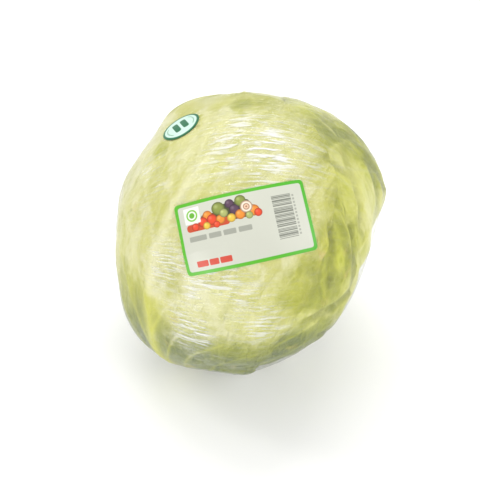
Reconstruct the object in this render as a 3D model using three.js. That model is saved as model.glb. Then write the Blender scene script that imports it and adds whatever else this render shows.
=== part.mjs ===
// A whole cabbage head in clear stretch film, with a printed paper label and a small round sticker.
// Millimetres, +Z up. The cut stem points straight down, and the head stands on its own flat foot.
//
// Every piece is laid out on one ball, the outside of the film. A direction from the ball's middle
// says where a point lies, and a depth below the outside says which layer it is in:
//
//   the film, one broad cover leaf, a ring of wrapper leaves, the heart.
//
// The wrapper leaves overlap like a pinwheel: each lies over the next one on its right-hand side
// and under its neighbour on the left, so a leaf sinks steadily from its right edge to its left.
import * as THREE from 'three';

// ---- Driving dimensions -----------------------------------------------------------------------

const WIDTH = 182; // across X, over the film, before the lumps
const LENGTH = 194; // along Y
const HEIGHT = 184; // from the surface that it stands on to the crown
const FOOT_RADIUS = 28; // where the round of the ball meets the flat that it stands on
const FOOT_BLEND = 2; // how softly it does

const FILM_THICKNESS = 0.4;
const FILM_HOLE_RADIUS = 5; // the open middle of the film's gathers, under the stem
const FILM_GAP = 1.2;

const LEAF_THICKNESS = 1.2;
const LEAF_GAP = 1.8; // between a leaf and the next one down
const HEART_GAP = 1.7; // between the lowest leaf and the heart

const STEM_RADIUS = 17;
const STEM_BEVEL = 1.5;
const STEM_GAP = 0.6;

const LABEL_WIDTH = 86;
const LABEL_HEIGHT = 47;
const LABEL_CORNER = 2.5;
const STICKER_RADIUS = 13.5;
const PAPER_THICKNESS = 0.3;
const PAPER_GAP = 0.4;

// Where the papers are stuck: degrees round from +X and up from level, and their turn clockwise.
const LABEL_PLACE = { azimuth: -92, elevation: 41.5, turn: -13.4 };
const STICKER_PLACE = { azimuth: 167, elevation: 61, turn: -35 };

// The head is no perfect ball. Each lump or hollow is a soft bell of this height and spread.
const LUMPS = [
  { name: 'full side, lower left', azimuth: -146, elevation: -34, height: 10, spread: 27 },
  { name: 'shoulder by the crown', azimuth: 128, elevation: 43, height: 5, spread: 12 },
  { name: 'flat, left', azimuth: 180, elevation: -4, height: -4, spread: 14 },
  { name: 'flat, upper left', azimuth: 150, elevation: 31, height: -3.5, spread: 14 },
  { name: 'shoulder, right', azimuth: 26, elevation: 30, height: 7, spread: 27 },
  { name: 'hollow under the right fold', azimuth: -13, elevation: -14, height: -17, spread: 23 },
  { name: 'fold, right', azimuth: 12, elevation: 13, height: 4, spread: 13 },
  { name: 'hollow, lower right', azimuth: -48, elevation: -40, height: -11, spread: 20 },
  { name: 'fold, lower right', azimuth: -29, elevation: -30, height: 4, spread: 9 },
];

// Hollows in the head that the tight film doesn't follow down into, but bridges.
const BRIDGED = [
  { name: 'under the right fold', azimuth: -8, elevation: -8, height: -5, spread: 14 },
  { name: 'between the folds, lower right', azimuth: -50, elevation: -34, height: -3, spread: 13 },
];

// A leaf runs from the stem up its midrib at this azimuth, as far as tip, in degrees from the
// stem's end of the axis, so the crown is at 180. spread is its half width at the widest.
const COVER_LEAF = { name: 'cover_leaf', azimuth: -132, tip: 202, spread: 68 };
const WRAPPER_LEAVES = [
  { name: 'wrapper_leaf_front', azimuth: -98, tip: 168, spread: 60 },
  { name: 'wrapper_leaf_front_right', azimuth: -48, tip: 165, spread: 60 },
  { name: 'wrapper_leaf_right', azimuth: 4, tip: 168, spread: 58 },
  { name: 'wrapper_leaf_back_right', azimuth: 55, tip: 166, spread: 60 },
  { name: 'wrapper_leaf_back', azimuth: 107, tip: 168, spread: 58 },
  { name: 'wrapper_leaf_back_left', azimuth: 158, tip: 165, spread: 60 },
  { name: 'wrapper_leaf_left', azimuth: 209, tip: 167, spread: 60 },
];
const BASE_WIDTH = 0.35; // a leaf's width at the stem, as a share of its full round outline
const LEAF_ROUNDNESS = 0.42; // of its outline: 0 is a square, 0.5 a full round

// How finely each piece is divided.
const FILM_STEPS = { round: 40, up: 26 };
const HEART_STEPS = { round: 32, up: 18 };
const LEAF_STEPS = { across: 13, along: 15 };
const LABEL_STEPS = { across: 12, up: 7 };
const STICKER_STEPS = { round: 28, rings: 2 };
const STEM_STEPS = 28;

// ---- The ball -----------------------------------------------------------------------------------

const radians = THREE.MathUtils.degToRad;
const degrees = THREE.MathUtils.radToDeg;

const footShare = Math.sqrt(1 - (FOOT_RADIUS / (WIDTH / 2)) ** 2);
const halfSize = new THREE.Vector3(WIDTH / 2, LENGTH / 2, HEIGHT / (1 + footShare));
const middleHeight = HEIGHT - halfSize.z; // of the ball's middle over the surface it stands on

const toward = (azimuth, elevation) =>
  new THREE.Vector3().setFromSphericalCoords(1, radians(90 - elevation), radians(azimuth + 90))
    .applyAxisAngle(new THREE.Vector3(1, 0, 0), Math.PI / 2);

const withCentres = (bells) => bells.map((bell) => (
  { ...bell, centre: toward(bell.azimuth, bell.elevation) }));
const lumps = withCentres(LUMPS);
const bridged = withCentres(BRIDGED);

// How high a set of bells stands in this direction.
const swell = (direction, bells) => bells.reduce((sum, bell) => {
  const away = degrees(direction.angleTo(bell.centre)) / bell.spread;
  return sum + bell.height * Math.exp(-away * away);
}, 0);

// The lower of a and b, rounded where they are within soft of each other.
function softMin(a, b, soft) {
  const near = Math.max(soft - Math.abs(a - b), 0) / soft;
  return Math.min(a, b) - (near * near * soft) / 4;
}

// How far from the middle the layer at this depth lies, in this direction.
function reach(direction, depth) {
  const onBall = 1 / direction.clone().divide(halfSize).length();
  const round = onBall + swell(direction, lumps) - depth;
  if (direction.z > -1e-6) return round;
  return softMin(round, (middleHeight - depth) / -direction.z, FOOT_BLEND);
}

const pointAt = (direction, depth) => direction.clone().multiplyScalar(reach(direction, depth));

// The same for a layer of the head itself, which is under the film and has the bridged hollows.
const pointInHead = (direction, depth) => pointAt(direction, depth - swell(direction, bridged));

// Moves every vertex of a geometry to the place that a function gives for it.
function reshape(geometry, place) {
  const position = geometry.getAttribute('position');
  const point = new THREE.Vector3();
  for (let i = 0; i < position.count; i++) {
    const moved = place(point.fromBufferAttribute(position, i));
    position.setXYZ(i, moved.x, moved.y, moved.z);
  }
  geometry.computeVertexNormals();
  return geometry;
}

// ---- Layers ---------------------------------------------------------------------------------------

const leafPitch = LEAF_THICKNESS + LEAF_GAP;
const coverDepth = FILM_THICKNESS + FILM_GAP;

// How far round the axis, in degrees, a point of a leaf lies from its midrib.
const turnFromMidrib = (polar, across) =>
  degrees(Math.atan2(Math.sin(across), Math.cos(across) * Math.sin(polar)));

// The place on a leaf of a point of the square from -1 to 1 across and along: how far along it is, as
// an angle from the stem, and how far out to the side. The square's corners are rounded off, and the
// leaf is drawn in towards the stem.
function spotOnLeaf(leaf, across, along) {
  const x = across * Math.sqrt(1 - LEAF_ROUNDNESS * along * along);
  const y = along * Math.sqrt(1 - LEAF_ROUNDNESS * across * across);
  const waist = THREE.MathUtils.lerp(1, BASE_WIDTH, ((1 - y) / 2) ** 3);
  return {
    polar: radians(THREE.MathUtils.lerp(leaf.base, leaf.tip, (y + 1) / 2)),
    across: radians(leaf.spread * waist) * x,
  };
}

// The polar angle where a leaf starts, just clear of the stem at its own deepest.
const baseAngle = (deepest) => degrees(Math.atan((STEM_RADIUS + STEM_GAP) / (middleHeight - deepest)));

// The furthest round its midrib that any point of a leaf's right edge lies.
function furthestTurn(leaf) {
  const turns = Array.from({ length: 2 * LEAF_STEPS.along + 1 }, (_, i) => {
    const spot = spotOnLeaf(leaf, 1, i / LEAF_STEPS.along - 1);
    return turnFromMidrib(spot.polar, spot.across);
  });
  return Math.max(...turns);
}

const coverLeaf = {
  ...COVER_LEAF,
  base: baseAngle(coverDepth + LEAF_THICKNESS),
  depth: () => coverDepth,
};

// The wrapper leaves' depths: how many millimetres a leaf sinks for each degree round to its left
// sets it one leaf's pitch under the neighbour that covers it.
const spacings = WRAPPER_LEAVES.map((leaf, i) => {
  const next = WRAPPER_LEAVES[(i + 1) % WRAPPER_LEAVES.length];
  return THREE.MathUtils.euclideanModulo(next.azimuth - leaf.azimuth, 360);
});
const sink = leafPitch / Math.min(...spacings);
const wrapperTop = coverDepth + leafPitch;
const widestTurn = Math.max(
  ...WRAPPER_LEAVES.map((leaf) => furthestTurn({ ...leaf, base: baseAngle(wrapperTop) })),
);
const wrapperBottom = wrapperTop + 2 * widestTurn * sink + LEAF_THICKNESS;
const wrapperLeaves = WRAPPER_LEAVES.map((leaf) => ({
  ...leaf,
  base: baseAngle(wrapperBottom),
  depth: (turn) => wrapperTop + sink * (widestTurn - turn),
}));
const heartDepth = wrapperBottom + HEART_GAP;

// ---- Pieces ---------------------------------------------------------------------------------------

const head = new THREE.Group();

function add(name, geometry, material) {
  const mesh = new THREE.Mesh(geometry, material);
  mesh.name = name;
  head.add(mesh);
}

const heartMaterial = new THREE.MeshStandardMaterial({ color: 0xe6e9b8, roughness: 0.5 });
const paleLeafMaterial = new THREE.MeshStandardMaterial({ color: 0xe2e3a8, roughness: 0.5 });
const greenLeafMaterial = new THREE.MeshStandardMaterial({ color: 0xc3c66a, roughness: 0.5 });
const stemMaterial = new THREE.MeshStandardMaterial({ color: 0xe9e6c9, roughness: 0.7 });
const filmMaterial = new THREE.MeshStandardMaterial({
  color: 0xf4f6f0, roughness: 0.1, transparent: true, opacity: 0.25,
});
const paperMaterial = new THREE.MeshStandardMaterial({ color: 0xe0e2d8, roughness: 0.5 });

// The heart: the tight ball of inner leaves, grown as one mass.
function heartGeometry() {
  const ball = new THREE.SphereGeometry(1, HEART_STEPS.round, HEART_STEPS.up).rotateX(Math.PI / 2);
  return reshape(ball, (point) => pointInHead(point.normalize(), heartDepth));
}
add('heart', heartGeometry(), heartMaterial);

// The cut stem: a short stump from the flat under the heart down to the foot, bevelled by the knife.
function stemGeometry() {
  const bottom = coverDepth - middleHeight;
  const top = heartDepth - STEM_GAP - middleHeight;
  const outline = [
    new THREE.Vector2(0, bottom),
    new THREE.Vector2(STEM_RADIUS - STEM_BEVEL, bottom),
    new THREE.Vector2(STEM_RADIUS, bottom + STEM_BEVEL),
    new THREE.Vector2(STEM_RADIUS, top),
    new THREE.Vector2(0, top),
  ];
  return new THREE.LatheGeometry(outline, STEM_STEPS).rotateX(Math.PI / 2);
}
add('cut_stem', stemGeometry(), stemMaterial);

// A leaf: a flat square block, its outline rounded, bent round the ball from the stem to its tip.
function leafGeometry(leaf) {
  const around = radians(leaf.azimuth);
  const sideways = new THREE.Vector3(-Math.sin(around), Math.cos(around), 0);
  const block = new THREE.BoxGeometry(2, 2, 1, LEAF_STEPS.across, LEAF_STEPS.along, 1);
  return reshape(block, ({ x, y, z }) => {
    const spot = spotOnLeaf(leaf, x, y);
    const onMidrib = new THREE.Vector3(
      Math.sin(spot.polar) * Math.cos(around),
      Math.sin(spot.polar) * Math.sin(around),
      -Math.cos(spot.polar),
    );
    const direction = onMidrib.multiplyScalar(Math.cos(spot.across))
      .addScaledVector(sideways, Math.sin(spot.across));
    const top = leaf.depth(turnFromMidrib(spot.polar, spot.across));
    return pointInHead(direction, z > 0 ? top : top + LEAF_THICKNESS);
  });
}
add(coverLeaf.name, leafGeometry(coverLeaf), paleLeafMaterial);
for (const leaf of wrapperLeaves) add(leaf.name, leafGeometry(leaf), greenLeafMaterial);

// The film: one sheet drawn round the head and gathered under it, open only at the gathers' middle.
function filmGeometry() {
  const insideMark = 0.5; // the radius that marks the inner skin until the vertices are placed
  const holeAngle = Math.atan(FILM_HOLE_RADIUS / middleHeight);
  const arc = (radius, from, to) => Array.from({ length: FILM_STEPS.up + 1 }, (_, i) => {
    const angle = THREE.MathUtils.lerp(from, to, i / FILM_STEPS.up);
    return new THREE.Vector2(radius * Math.sin(angle), -radius * Math.cos(angle));
  });
  const inner = arc(insideMark, Math.PI, holeAngle);
  const outer = arc(1, holeAngle, Math.PI);
  inner[0].x = 0;
  outer[FILM_STEPS.up].x = 0;
  const bag = new THREE.LatheGeometry([...inner, ...outer].reverse(), FILM_STEPS.round);
  bag.rotateX(Math.PI / 2).scale(1, -1, 1);
  return reshape(bag, (point) => {
    const depth = point.length() > (1 + insideMark) / 2 ? 0 : FILM_THICKNESS;
    return pointAt(point.normalize(), depth);
  });
}
add('stretch_film', filmGeometry(), filmMaterial);

// A paper stuck on the film: x, y and z of the geometry are across, up and out from the paper's
// middle, and its distances are kept along the surface.
function stick(geometry, spot) {
  const centre = toward(spot.azimuth, spot.elevation);
  const right = new THREE.Vector3(0, 0, 1).cross(centre).normalize();
  const up = centre.clone().cross(right);
  const size = reach(centre, 0);
  right.applyAxisAngle(centre, -radians(spot.turn));
  up.applyAxisAngle(centre, -radians(spot.turn));
  return reshape(geometry, ({ x, y, z }) => {
    const away = Math.hypot(x, y);
    const along = right.clone().multiplyScalar(x).addScaledVector(up, y).normalize();
    const direction = centre.clone().multiplyScalar(Math.cos(away / size))
      .addScaledVector(along, Math.sin(away / size));
    return pointAt(direction, -PAPER_GAP - z);
  });
}

// The label: a sheet with small round corners, on the upper front.
function labelGeometry() {
  const sheet = new THREE.BoxGeometry(
    LABEL_WIDTH, LABEL_HEIGHT, PAPER_THICKNESS, LABEL_STEPS.across, LABEL_STEPS.up, 1,
  ).translate(0, 0, PAPER_THICKNESS / 2);
  const corner = new THREE.Vector2(LABEL_WIDTH / 2 - LABEL_CORNER, LABEL_HEIGHT / 2 - LABEL_CORNER);
  const rounded = reshape(sheet, (point) => {
    const over = new THREE.Vector2(Math.abs(point.x), Math.abs(point.y)).sub(corner);
    if (over.x > 0 && over.y > 0) {
      over.setLength(LABEL_CORNER).add(corner);
      point.setX(Math.sign(point.x) * over.x).setY(Math.sign(point.y) * over.y);
    }
    return point;
  });
  return stick(rounded, LABEL_PLACE);
}
add('paper_label', labelGeometry(), paperMaterial);

// The sticker: a small disc, on the upper left.
function stickerGeometry() {
  const ring = (n) => new THREE.Vector2((STICKER_RADIUS * n) / STICKER_STEPS.rings, 0);
  const rings = Array.from({ length: STICKER_STEPS.rings + 1 }, (_, n) => ring(n));
  const face = rings.map((p) => new THREE.Vector2(p.x, PAPER_THICKNESS)).reverse();
  const disc = new THREE.LatheGeometry([...rings, ...face], STICKER_STEPS.round);
  return stick(disc.rotateX(Math.PI / 2), STICKER_PLACE);
}
add('round_sticker', stickerGeometry(), paperMaterial);

// ---- The part's own frame ---------------------------------------------------------------------------

// The origin is on the surface that the head stands on, under the middle of its outside box.
const outside = new THREE.Box3().setFromObject(head);
const middle = outside.getCenter(new THREE.Vector3());
head.position.set(-middle.x, -middle.y, -outside.min.z);

export default head;
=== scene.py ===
"""A whole cabbage head in clear stretch film, with a printed paper label and a small round sticker."""
import itertools
import math

import bpy
import numpy as np
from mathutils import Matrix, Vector
from mathutils.bvhtree import BVHTree


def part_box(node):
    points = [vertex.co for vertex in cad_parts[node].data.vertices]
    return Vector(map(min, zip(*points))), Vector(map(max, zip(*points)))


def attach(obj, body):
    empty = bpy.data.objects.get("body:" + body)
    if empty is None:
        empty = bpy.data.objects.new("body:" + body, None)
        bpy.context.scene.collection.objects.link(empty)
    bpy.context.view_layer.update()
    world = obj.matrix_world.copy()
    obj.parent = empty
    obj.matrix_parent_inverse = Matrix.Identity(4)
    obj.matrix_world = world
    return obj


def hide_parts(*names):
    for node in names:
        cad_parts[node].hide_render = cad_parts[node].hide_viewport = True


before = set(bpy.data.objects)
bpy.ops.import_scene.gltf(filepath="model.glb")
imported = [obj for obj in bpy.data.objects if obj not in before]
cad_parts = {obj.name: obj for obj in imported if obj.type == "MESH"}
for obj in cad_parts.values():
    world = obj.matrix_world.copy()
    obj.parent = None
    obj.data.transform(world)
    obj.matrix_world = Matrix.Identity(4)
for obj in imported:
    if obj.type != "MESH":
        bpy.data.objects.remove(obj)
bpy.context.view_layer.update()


# ---- The stand --------------------------------------------------------------------------------
# A sheet of pale board between white walls, under four softboxes: a wide one over the back of the
# head, one low in front, and one on each side. The camera looks down on the label.

MM = 0.001
stem_low, stem_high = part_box("cut_stem")
film_low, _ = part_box("stretch_film")

# The ball that every piece is laid out on, as the model has it.
BALL_WIDTH = 182 * MM
BALL_LENGTH = 194 * MM
FOOT_RADIUS = 28 * MM
FOOT_BLEND = 2 * MM
ball_height = 184 * MM
foot_share = math.sqrt(1 - (FOOT_RADIUS / (BALL_WIDTH / 2)) ** 2)
half_height = ball_height / (1 + foot_share)
half_size = np.array([BALL_WIDTH / 2, BALL_LENGTH / 2, half_height])
middle_height = ball_height - half_height
middle = np.array([
    (stem_low[0] + stem_high[0]) / 2,
    (stem_low[1] + stem_high[1]) / 2,
    film_low[2] + middle_height,
])

CAMERA_ELEVATION = math.radians(40)
CAMERA_DISTANCE = 1.0
VIEW_HEIGHT = 0.340  # of the slice through the head's middle that the view shows
HEAD_IN_VIEW = (5.4 * MM, 11.6 * MM)  # right of and above the view's middle
SENSOR_HEIGHT = 24
BOARD_SIZE = 8

view_back = Vector((0, -math.cos(CAMERA_ELEVATION), math.sin(CAMERA_ELEVATION)))
view_right = Vector((1, 0, 0))
view_up = view_back.cross(view_right)
aim = Vector(middle) - view_right * HEAD_IN_VIEW[0] - view_up * HEAD_IN_VIEW[1]

bpy.ops.object.select_all(action="DESELECT")
bpy.ops.object.camera_add(
    location=aim + view_back * CAMERA_DISTANCE,
    rotation=(math.pi / 2 - CAMERA_ELEVATION, 0, 0),
)
camera = bpy.context.object
camera.data.sensor_fit = "VERTICAL"
camera.data.sensor_height = SENSOR_HEIGHT
camera.data.lens = SENSOR_HEIGHT * CAMERA_DISTANCE / VIEW_HEIGHT
camera.data.clip_start = 0.05
bpy.context.scene.camera = camera
bpy.context.scene.view_settings.view_transform = "Standard"


def softbox(name, azimuth, elevation, distance, size, power):
    """A white softbox that looks at the head's middle, from this many degrees round from +X."""
    around = math.radians(azimuth)
    rise = math.radians(elevation)
    away = Vector((
        math.cos(rise) * math.cos(around), math.cos(rise) * math.sin(around), math.sin(rise),
    ))
    bpy.ops.object.light_add(type="AREA", location=Vector(middle) + away * distance)
    lamp = bpy.context.object
    lamp.name = name
    lamp.data.shape = "RECTANGLE"
    lamp.data.size, lamp.data.size_y = size
    lamp.data.energy = power
    lamp.rotation_euler = away.to_track_quat("Z", "Y").to_euler()
    return lamp


softbox("softbox_over_back", 94, 64, 1.3, (1.3, 0.28), 9)
softbox("softbox_front_left", -122, 5, 1.5, (0.9, 0.2), 6)
softbox("softbox_left", 160, 38, 1.5, (0.3, 0.8), 4)
softbox("softbox_right", -34, 30, 1.6, (0.9, 0.9), 8)

world = bpy.data.worlds.new("white_room")
bpy.context.scene.world = world
world.use_nodes = True
world.node_tree.nodes["Background"].inputs["Color"].default_value = (1, 1, 1, 1)
world.node_tree.nodes["Background"].inputs["Strength"].default_value = 0.68

bpy.ops.mesh.primitive_plane_add(size=BOARD_SIZE)
board = bpy.context.object
board.name = "pale_board"


def new_material(name):
    """A material with nodes, and its Principled shader."""
    material = bpy.data.materials.new(name)
    material.use_nodes = True
    return material, material.node_tree.nodes["Principled BSDF"]


board_material, board_shader = new_material("pale_board")
for socket, value in (
    ("Base Color", (0.93, 0.93, 0.93, 1)), ("Roughness", 0.8),
    ("Emission Color", (1, 1, 1, 1)), ("Emission Strength", 0.12),
):
    board_shader.inputs[socket].default_value = value
board.data.materials.append(board_material)


# ---- The heart ----------------------------------------------------------------------------------
# The tight ball of inner leaves, grown as one mass round the stem. It is pale, because no light
# gets to it, and it carries the long ribs and the puckers of the leaves that press on it.

LEAF_THICKNESS = 1.2 * MM
LEAF_GAP = 1.8 * MM
HEART_GAP = 1.7 * MM
FILM_THICKNESS = 0.4 * MM
FILM_GAP = 1.2 * MM
STEM_RADIUS = 17 * MM
STEM_GAP = 0.6 * MM

# Bells that make the ball a head: azimuth and elevation in degrees, height, and spread in degrees.
LUMPS = [
    (-146, -34, 10 * MM, 27),
    (128, 43, 5 * MM, 12),
    (180, -4, -4 * MM, 14),
    (150, 31, -3.5 * MM, 14),
    (26, 30, 7 * MM, 27),
    (-13, -14, -17 * MM, 23),
    (12, 13, 4 * MM, 13),
    (-48, -40, -11 * MM, 20),
    (-29, -30, 4 * MM, 9),
]
# Hollows that the film bridges.
BRIDGED = [
    (-8, -8, -5 * MM, 14),
    (-50, -34, -3 * MM, 13),
]


def toward(azimuth, elevation):
    """The direction this many degrees round from +X and up from level."""
    around, rise = math.radians(azimuth), math.radians(elevation)
    return np.array([
        math.cos(rise) * math.cos(around), math.cos(rise) * math.sin(around), math.sin(rise),
    ])


def bell(directions, azimuth, elevation, spread):
    """1 in this direction, falling off softly over this many degrees."""
    cosine = np.clip(directions @ toward(azimuth, elevation), -1, 1)
    return np.exp(-((np.degrees(np.arccos(cosine)) / spread) ** 2))


def swell(directions, bells):
    return sum(height * bell(directions, a, e, spread) for a, e, height, spread in bells)


def reach(directions, depth):
    """How far from the ball's middle the layer at this depth lies, in each direction."""
    ball = 1 / np.linalg.norm(directions / half_size, axis=1)
    lumpy = ball + swell(directions, LUMPS) - depth
    down = np.maximum(-directions[:, 2], 1e-6)
    foot = (middle_height - depth) / down
    near = np.maximum(FOOT_BLEND - np.abs(lumpy - foot), 0) / FOOT_BLEND
    return np.minimum(lumpy, foot) - near * near * FOOT_BLEND / 4


def smooth_grain(seed):
    """Smooth noise from -1 to 1, as a function of points with about one crest to each unit."""
    table = np.random.default_rng(seed).uniform(-1, 1, (32, 32, 32))

    def grain(*axes):
        points = np.stack(np.broadcast_arrays(*(axes + (0.5,) * (3 - len(axes)))), axis=-1)
        cell = np.floor(points).astype(int)
        part = points - cell
        part = part * part * (3 - 2 * part)
        total = 0
        for corner in itertools.product((0, 1), repeat=3):
            weight = np.prod(np.where(corner, part, 1 - part), axis=-1)
            x, y, z = np.moveaxis((cell + corner) % 32, -1, 0)
            total = total + weight * table[x, y, z]
        return total

    return grain


def near_line(directions, start, end, wander=0.0):
    """How far off a line between two places each direction is, and 1 along it to 0 past its ends."""
    start, end = toward(*start), toward(*end)
    normal = np.cross(start, end)
    normal /= np.linalg.norm(normal)
    length = math.acos(np.clip(start @ end, -1, 1))
    forward = np.cross(normal, start)
    run = np.arctan2(directions @ forward, directions @ start) / length
    return directions @ normal + wander, np.clip(np.minimum(run, 1 - run) * 5, 0, 1)


# Sharp furrows between the crumpled folds of the side that bulges: the places they run between, and
# their depth.
FURROWS = [
    ((-71, 0), (-40, 3), 2.6),
    ((-62, -12), (-36, -22), 2.2),
    ((-2, 50), (-32, 22), 2.4),
    ((-46, 40), (-58, 8), 2.0),
    ((-34, 34), (-44, 4), 2.2),
    ((30, 40), (14, 20), 3.0),
    ((20, 58), (40, 36), 2.0),
    ((-24, 60), (-14, 36), 1.6),
    ((6, 36), (-10, 12), 2.0),
    ((-110, -30), (-72, -18), 1.6),
    ((-96, -38), (-60, -30), 1.8),
    ((70, 30), (64, -20), 1.6),
    ((150, 40), (142, 0), 1.4),
]


def furrowed(directions):
    """How deep the furrows are, in millimetres."""
    wander = 0.03 * bulge_grain(*(directions.T * 5 + 11))
    deepest = np.zeros(len(directions))
    for start, end, deep in FURROWS:
        off, along = near_line(directions, start, end, wander)
        deepest = np.maximum(deepest, 1.3 * deep * along * np.exp(-((off / 0.026) ** 2)))
    return deepest


bulge_grain = smooth_grain(1)
fold_grain = smooth_grain(2)
furrow_grain = smooth_grain(3)


def relief(directions):
    """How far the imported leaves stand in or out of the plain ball, the same for every layer."""
    rise = np.arcsin(np.clip(directions[:, 2], -1, 1))
    level = np.maximum(np.cos(rise), 1e-6)
    east, north = directions[:, 0] / level, directions[:, 1] / level
    right_side = bell(directions, 6, 8, 48)
    lower_front = bell(directions, -85, -42, 26)
    elsewhere = 0.35 + 0.25 * bulge_grain(*(directions.T * 2 + 7))
    wander = 0.35 * bulge_grain(*(directions.T * 3 + 3))
    lengthwise = fold_grain(east * 5.5 + wander, north * 5.5 + wander, rise * 1.7)
    crosswise = furrow_grain(rise * 6.5 + wander, *(directions[:, :2].T * 1.3))
    folds = (np.abs(lengthwise) ** 0.6 - 0.5) * level * (6.5 * right_side + 1.2 * elsewhere)
    furrows = (np.abs(crosswise) ** 0.6 - 0.5) * (4.0 * lower_front + 0.8 * elsewhere)
    bulges = 1.0 * bulge_grain(*(directions.T * 4))
    return (folds + furrows + bulges - furrowed(directions)) * MM + swell(directions, BRIDGED)


# Where the leaves have had more light: azimuth, elevation, spread and share.
GREENED = [
    (-62, 15, 15, 1.0),
    (-46, 23, 16, 1.0),
    (14, 30, 18, 1.0),
    (10, 57, 15, 0.5),
    (-141, -6, 18, 1.0),
    (-98, -22, 17, 1.0),
    (-66, -20, 20, 1.0),
    (-130, -30, 17, 0.9),
    (-176, 52, 6, 0.7),
    (-165, 22, 6, 0.5),
    (100, 79, 13, 0.6),
    (60, 10, 30, 0.6),
    (130, 0, 25, 0.4),
]


# Painted shade, a dark dull green, at these places and everywhere underneath.
PAINTED_SHADE_SPOTS = [
    (-60, -22, 18, 1.0),
    (-84, -24, 14, 0.8),
    (-98, -34, 16, 0.9),
    (-70, -13, 11, 1.0),
    (-100, -20, 13, 0.5),
    (8, 29, 9, 0.45),
    (-56, 1, 5, 0.5),
    (27, 37, 6, 0.9),
    (12, 52, 11, 0.6),
    (60, 20, 14, 0.4),
]


# Painted shade: how much of it, at the listed places and the more the leaf faces down.
def dulled(directions):
    shares = [share * bell(directions, a, e, spread) for a, e, spread, share in PAINTED_SHADE_SPOTS]
    return np.clip(np.maximum(np.max(shares, axis=0), -directions[:, 2] * 3.2 - 0.1), 0, 1)


def greened(directions):
    shares = [share * bell(directions, a, e, spread) for a, e, spread, share in GREENED]
    underneath = np.clip((-directions[:, 2] - 0.2) / 0.4, 0, 1)
    return np.clip(np.maximum(np.max(shares, axis=0), 0.8 * underneath), 0, 1)


def in_head(directions, depth):
    """Where the layer of the head at this depth lies, in each direction."""
    radius = reach(directions, depth - relief(directions))
    return middle + directions * radius[:, None]


def mesh_points(piece):
    points = np.empty(len(piece.data.vertices) * 3)
    piece.data.vertices.foreach_get("co", points)
    return points.reshape(-1, 3)


def move_points(piece, points):
    piece.data.vertices.foreach_set("co", np.asarray(points, dtype=float).ravel())
    piece.data.update()


def keep_values(piece, name, values):
    """Stores one number for each vertex, for the material to read."""
    layer = piece.data.attributes.new(name, "FLOAT", "POINT")
    layer.data.foreach_set("value", np.asarray(values, dtype=np.float32))


def finish_piece(piece, material, slot_name, *nodes):
    """Smooth faces, its material, the body that it rides on and the CAD nodes that it stands for."""
    piece.data.materials.clear()
    piece.data.materials.append(material)
    bpy.ops.object.select_all(action="DESELECT")
    piece.select_set(True)
    bpy.context.view_layer.objects.active = piece
    bpy.ops.object.shade_smooth_by_angle(angle=math.radians(50))
    piece.select_set(False)
    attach(piece, "root")
    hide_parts(*nodes)


def degrees_from_stem(radius, depth):
    """The angle at the ball's middle, from straight down, of a ring round the stem."""
    return math.degrees(math.atan(radius / (middle_height - depth)))


# The wrapper leaves in front of the rest set how deep the heart lies: see their section.
BASE_WIDTH = 0.35
LEAF_ROUNDNESS = 0.42
COVER_LEAF = ("cover_leaf", -132, 202, 68)
WRAPPER_LEAVES = [
    ("wrapper_leaf_front", -98, 168, 60),
    ("wrapper_leaf_front_right", -48, 165, 60),
    ("wrapper_leaf_right", 4, 168, 58),
    ("wrapper_leaf_back_right", 55, 166, 60),
    ("wrapper_leaf_back", 107, 168, 58),
    ("wrapper_leaf_back_left", 158, 165, 60),
    ("wrapper_leaf_left", 209, 167, 60),
]
leaf_pitch = LEAF_THICKNESS + LEAF_GAP
cover_depth = FILM_THICKNESS + FILM_GAP
wrapper_top = cover_depth + leaf_pitch


def spot_on_leaf(tip, spread, base, across, along):
    """The angle from the stem and the angle out to the side, of points from -1 to 1 each way."""
    x = across * np.sqrt(1 - LEAF_ROUNDNESS * along ** 2)
    y = along * np.sqrt(1 - LEAF_ROUNDNESS * across ** 2)
    waist = 1 + (BASE_WIDTH - 1) * ((1 - y) / 2) ** 3
    polar = np.radians(base + (tip - base) * (y + 1) / 2)
    return polar, np.radians(spread) * waist * x


def turn_from_midrib(polar, sideways):
    return np.degrees(np.arctan2(np.sin(sideways), np.cos(sideways) * np.sin(polar)))


right_edge = np.linspace(-1, 1, 61)
widest_turn = max(
    turn_from_midrib(*spot_on_leaf(
        tip, spread, degrees_from_stem(STEM_RADIUS + STEM_GAP, wrapper_top), 1, right_edge,
    )).max()
    for _, _, tip, spread in WRAPPER_LEAVES
)
azimuths = [leaf[1] for leaf in WRAPPER_LEAVES]
smallest_space = min((b - a) % 360 for a, b in zip(azimuths, azimuths[1:] + azimuths[:1]))
sink = leaf_pitch / smallest_space
wrapper_bottom = wrapper_top + 2 * widest_turn * sink + LEAF_THICKNESS
heart_depth = wrapper_bottom + HEART_GAP

HEART_SEGMENTS = 144
HEART_RINGS = 96
HEART_RIBS = 7  # to each half turn
RIB_HEIGHT = 0.9 * MM
rib_grain = smooth_grain(5)

bpy.ops.mesh.primitive_uv_sphere_add(segments=HEART_SEGMENTS, ring_count=HEART_RINGS, radius=1)
heart = bpy.context.object
heart.name = "heart_leaves"
heart_directions = mesh_points(heart)
heart_directions /= np.linalg.norm(heart_directions, axis=1)[:, None]
heart_around = np.arctan2(heart_directions[:, 1], heart_directions[:, 0])
heart_rise = np.arcsin(np.clip(heart_directions[:, 2], -1, 1))
# Long ribs fan up from the stem and fade towards the crown.
heart_ribs = 1 - np.abs(np.sin(heart_around * HEART_RIBS + rib_grain(*(heart_directions.T * 2))))
heart_ribs = heart_ribs ** 4 * np.clip(0.8 - heart_rise, 0, 1.5)
move_points(heart, in_head(heart_directions, heart_depth - RIB_HEIGHT * heart_ribs))
keep_values(heart, "rib", np.clip(heart_ribs, 0, 1))
for kept in ("margin", "hollow", "greened", "dulled"):
    keep_values(heart, kept, np.zeros(len(heart_ribs)))


def add_node(material, kind, **settings):
    node = material.node_tree.nodes.new(kind)
    for name, value in settings.items():
        setattr(node, name, value)
    return node


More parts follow.
